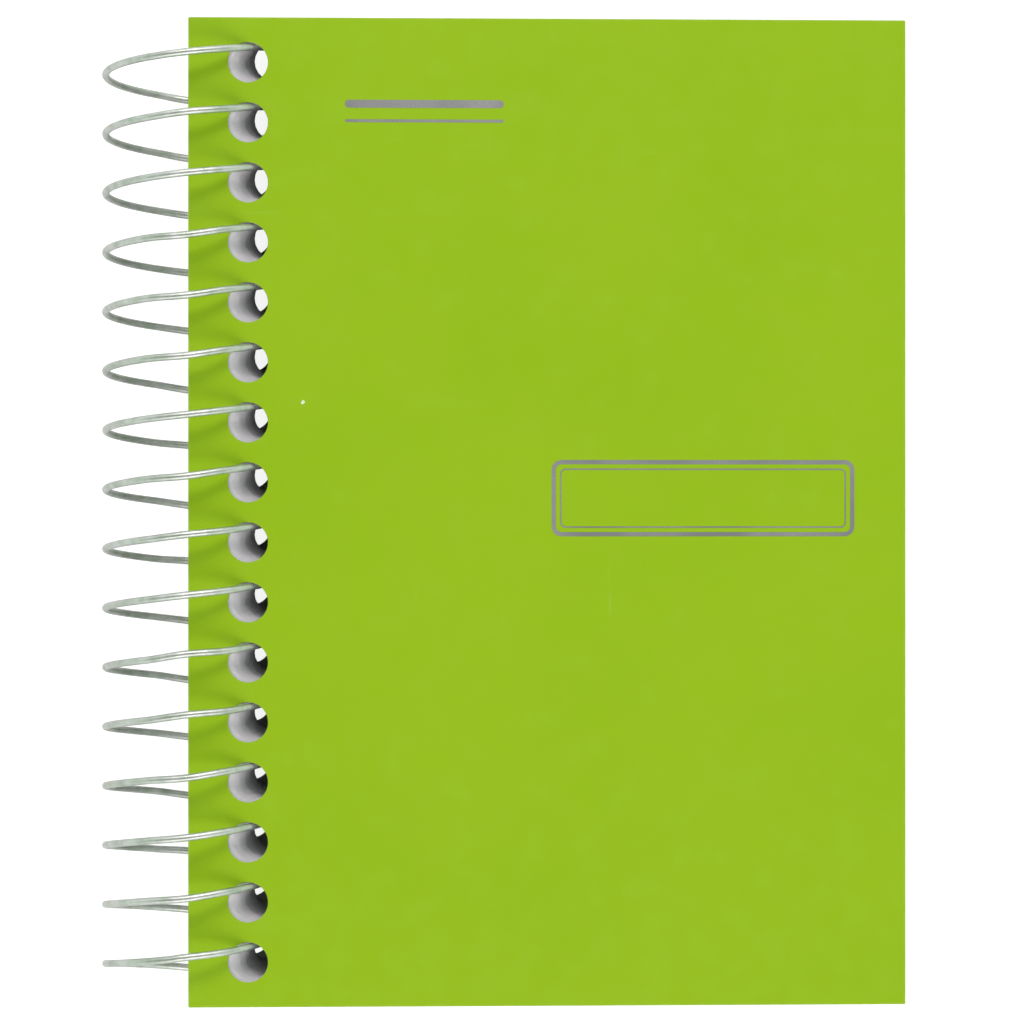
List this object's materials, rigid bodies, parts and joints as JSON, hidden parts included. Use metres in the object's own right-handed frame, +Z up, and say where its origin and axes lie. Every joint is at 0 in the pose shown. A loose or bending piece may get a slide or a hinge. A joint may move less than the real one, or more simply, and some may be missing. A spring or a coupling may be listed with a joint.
{
  "type": "pocket notebook",
  "caption": "Spiral-bound pocket notebook with green covers, a thick block of ruled sheets and a bright steel wire along its left edge.",
  "frame": {"origin": "bottom centre of the closed notebook's bounding box, as it lies on its back on a flat surface", "axes": "+X from the wire to the free edge, +Y up the page, +Z up, out of the front cover"},
  "size_m": [0.1148, 0.1418, 0.025],
  "materials": {
    "cover": "lime-green coated cover sheet, satin",
    "paper": "matt white writing paper with ruled lines",
    "wire": "bright drawn steel wire"
  },
  "bodies": {
    "base": {"back_cover": "cover", "spiral_wire": "wire"},
    "sheets_001_010": {"sheets_001_010": "paper"},
    "sheets_011_020": {"sheets_011_020": "paper"},
    "sheets_021_030": {"sheets_021_030": "paper"},
    "sheets_031_040": {"sheets_031_040": "paper"},
    "sheets_041_050": {"sheets_041_050": "paper"},
    "sheets_051_060": {"sheets_051_060": "paper"},
    "sheets_061_070": {"sheets_061_070": "paper"},
    "sheets_071_080": {"sheets_071_080": "paper"},
    "sheets_081_090": {"sheets_081_090": "paper"},
    "sheets_091_100": {"sheets_091_100": "paper"},
    "sheets_101_110": {"sheets_101_110": "paper"},
    "sheets_111_120": {"sheets_111_120": "paper"},
    "sheets_121_130": {"sheets_121_130": "paper"},
    "sheets_131_140": {"sheets_131_140": "paper"},
    "sheets_141_150": {"sheets_141_150": "paper"},
    "sheets_151_160": {"sheets_151_160": "paper"},
    "sheets_161_170": {"sheets_161_170": "paper"},
    "sheets_171_180": {"sheets_171_180": "paper"},
    "sheets_181_190": {"sheets_181_190": "paper"},
    "sheets_191_200": {"sheets_191_200": "paper"},
    "front_cover": {"front_cover": "cover"}
  },
  "joints": [
    {"name": "sheets_191_200_turn", "type": "hinge", "parent": "base", "child": "sheets_191_200", "pos_m": [-0.04492, -0.00105, 0.0125], "axis": [0, -1, 0], "range_deg": [0, 180]},
    {"name": "sheets_181_190_turn", "type": "hinge", "parent": "sheets_191_200", "child": "sheets_181_190", "pos_m": [-0.04492, -0.00105, 0.0125], "axis": [0, -1, 0], "range_deg": [0, 180]},
    {"name": "sheets_171_180_turn", "type": "hinge", "parent": "sheets_181_190", "child": "sheets_171_180", "pos_m": [-0.04492, -0.00105, 0.0125], "axis": [0, -1, 0], "range_deg": [0, 180]},
    {"name": "sheets_161_170_turn", "type": "hinge", "parent": "sheets_171_180", "child": "sheets_161_170", "pos_m": [-0.04492, -0.00105, 0.0125], "axis": [0, -1, 0], "range_deg": [0, 180]},
    {"name": "sheets_151_160_turn", "type": "hinge", "parent": "sheets_161_170", "child": "sheets_151_160", "pos_m": [-0.04492, -0.00105, 0.0125], "axis": [0, -1, 0], "range_deg": [0, 180]},
    {"name": "sheets_141_150_turn", "type": "hinge", "parent": "sheets_151_160", "child": "sheets_141_150", "pos_m": [-0.04492, -0.00105, 0.0125], "axis": [0, -1, 0], "range_deg": [0, 180]},
    {"name": "sheets_131_140_turn", "type": "hinge", "parent": "sheets_141_150", "child": "sheets_131_140", "pos_m": [-0.04492, -0.00105, 0.0125], "axis": [0, -1, 0], "range_deg": [0, 180]},
    {"name": "sheets_121_130_turn", "type": "hinge", "parent": "sheets_131_140", "child": "sheets_121_130", "pos_m": [-0.04492, -0.00105, 0.0125], "axis": [0, -1, 0], "range_deg": [0, 180]},
    {"name": "sheets_111_120_turn", "type": "hinge", "parent": "sheets_121_130", "child": "sheets_111_120", "pos_m": [-0.04492, -0.00105, 0.0125], "axis": [0, -1, 0], "range_deg": [0, 180]},
    {"name": "sheets_101_110_turn", "type": "hinge", "parent": "sheets_111_120", "child": "sheets_101_110", "pos_m": [-0.04492, -0.00105, 0.0125], "axis": [0, -1, 0], "range_deg": [0, 180]},
    {"name": "sheets_091_100_turn", "type": "hinge", "parent": "sheets_101_110", "child": "sheets_091_100", "pos_m": [-0.04492, -0.00105, 0.0125], "axis": [0, -1, 0], "range_deg": [0, 180]},
    {"name": "sheets_081_090_turn", "type": "hinge", "parent": "sheets_091_100", "child": "sheets_081_090", "pos_m": [-0.04492, -0.00105, 0.0125], "axis": [0, -1, 0], "range_deg": [0, 180]},
    {"name": "sheets_071_080_turn", "type": "hinge", "parent": "sheets_081_090", "child": "sheets_071_080", "pos_m": [-0.04492, -0.00105, 0.0125], "axis": [0, -1, 0], "range_deg": [0, 180]},
    {"name": "sheets_061_070_turn", "type": "hinge", "parent": "sheets_071_080", "child": "sheets_061_070", "pos_m": [-0.04492, -0.00105, 0.0125], "axis": [0, -1, 0], "range_deg": [0, 180]},
    {"name": "sheets_051_060_turn", "type": "hinge", "parent": "sheets_061_070", "child": "sheets_051_060", "pos_m": [-0.04492, -0.00105, 0.0125], "axis": [0, -1, 0], "range_deg": [0, 180]},
    {"name": "sheets_041_050_turn", "type": "hinge", "parent": "sheets_051_060", "child": "sheets_041_050", "pos_m": [-0.04492, -0.00105, 0.0125], "axis": [0, -1, 0], "range_deg": [0, 180]},
    {"name": "sheets_031_040_turn", "type": "hinge", "parent": "sheets_041_050", "child": "sheets_031_040", "pos_m": [-0.04492, -0.00105, 0.0125], "axis": [0, -1, 0], "range_deg": [0, 180]},
    {"name": "sheets_021_030_turn", "type": "hinge", "parent": "sheets_031_040", "child": "sheets_021_030", "pos_m": [-0.04492, -0.00105, 0.0125], "axis": [0, -1, 0], "range_deg": [0, 180]},
    {"name": "sheets_011_020_turn", "type": "hinge", "parent": "sheets_021_030", "child": "sheets_011_020", "pos_m": [-0.04492, -0.00105, 0.0125], "axis": [0, -1, 0], "range_deg": [0, 180]},
    {"name": "sheets_001_010_turn", "type": "hinge", "parent": "sheets_011_020", "child": "sheets_001_010", "pos_m": [-0.04492, -0.00105, 0.0125], "axis": [0, -1, 0], "range_deg": [0, 180]},
    {"name": "front_cover_turn", "type": "hinge", "parent": "sheets_001_010", "child": "front_cover", "pos_m": [-0.04492, -0.00105, 0.0125], "axis": [0, -1, 0], "range_deg": [0, 180]}
  ]
}
